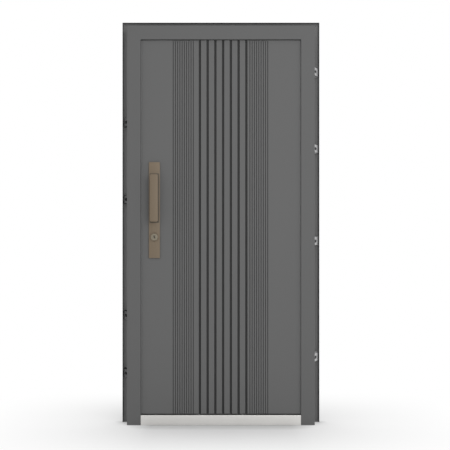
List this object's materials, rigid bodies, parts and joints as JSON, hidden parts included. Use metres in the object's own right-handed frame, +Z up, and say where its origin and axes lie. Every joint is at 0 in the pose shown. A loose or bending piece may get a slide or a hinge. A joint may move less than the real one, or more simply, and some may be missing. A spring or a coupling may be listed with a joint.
{
  "type": "security front door with frame",
  "caption": "Steel security door that swings indoors, with a grooved panel, a bronze pull on a long plate, a folded frame with slotted wall straps and a stainless threshold.",
  "frame": {"origin": "floor level at the middle of the opening and of the frame's depth, on the underside of the threshold's foot", "axes": "+X to the right seen from outside, +Y indoors, +Z up"},
  "size_m": [1.01, 0.193, 2.05],
  "materials": {
    "frame_paint": "matte grey powder coat",
    "leaf_paint": "matte grey powder coat",
    "cladding_paint": "milled board painted matte grey",
    "lining_paint": "milled board painted matte grey",
    "stainless": "brushed stainless steel",
    "bright_zinc": "bright zinc plate",
    "dull_zinc": "dull zinc plate",
    "seal_rubber": "black rubber",
    "bronze": "satin bronze-brown",
    "polished_steel": "ground steel",
    "hinge_paint": "matte grey powder coat"
  },
  "bodies": {
    "frame": {"lock_jamb": "frame_paint", "hinge_jamb": "frame_paint", "head_rail": "frame_paint", "threshold": "stainless", "lock_side_seal": "seal_rubber", "hinge_side_seal": "seal_rubber", "head_seal": "seal_rubber", "threshold_seal": "seal_rubber", "strike_plate": "bright_zinc", "hinge_strap_1": "bright_zinc", "hinge_strap_2": "bright_zinc", "hinge_strap_3": "bright_zinc", "hinge_strap_4": "bright_zinc", "lock_strap_1": "dull_zinc", "lock_strap_2": "dull_zinc", "lock_strap_3": "dull_zinc", "lock_strap_4": "dull_zinc", "hinge_frame_half_1": "hinge_paint", "hinge_frame_half_2": "hinge_paint", "hinge_frame_half_3": "hinge_paint"},
    "leaf": {"leaf_tray": "leaf_paint", "leaf_back_sheet": "leaf_paint", "cladding_panel": "cladding_paint", "lining_panel": "lining_paint", "pull_plate": "bronze", "pull_grip": "bronze", "cylinder_guard": "bronze", "guard_disc": "polished_steel", "lock_faceplate": "stainless", "lock_bolts": "polished_steel", "latch_bolt": "polished_steel", "security_pins": "polished_steel", "inner_plate": "stainless", "inner_lever": "stainless", "thumb_turn": "stainless", "hinge_leaf_half_1": "hinge_paint", "hinge_leaf_half_2": "hinge_paint", "hinge_leaf_half_3": "hinge_paint"},
    "plug": {"cylinder_plug": "polished_steel"}
  },
  "joints": [
    {"name": "door_swing", "type": "hinge", "parent": "frame", "child": "leaf", "pos_m": [0.437, 0.062, 0.985], "axis": [0, 0, -1], "range_deg": [0, 110]},
    {"name": "cylinder_turn", "type": "hinge", "parent": "leaf", "child": "plug", "pos_m": [-0.3365, -0.049, 0.9505], "axis": [0, -1, 0], "continuous": true}
  ]
}
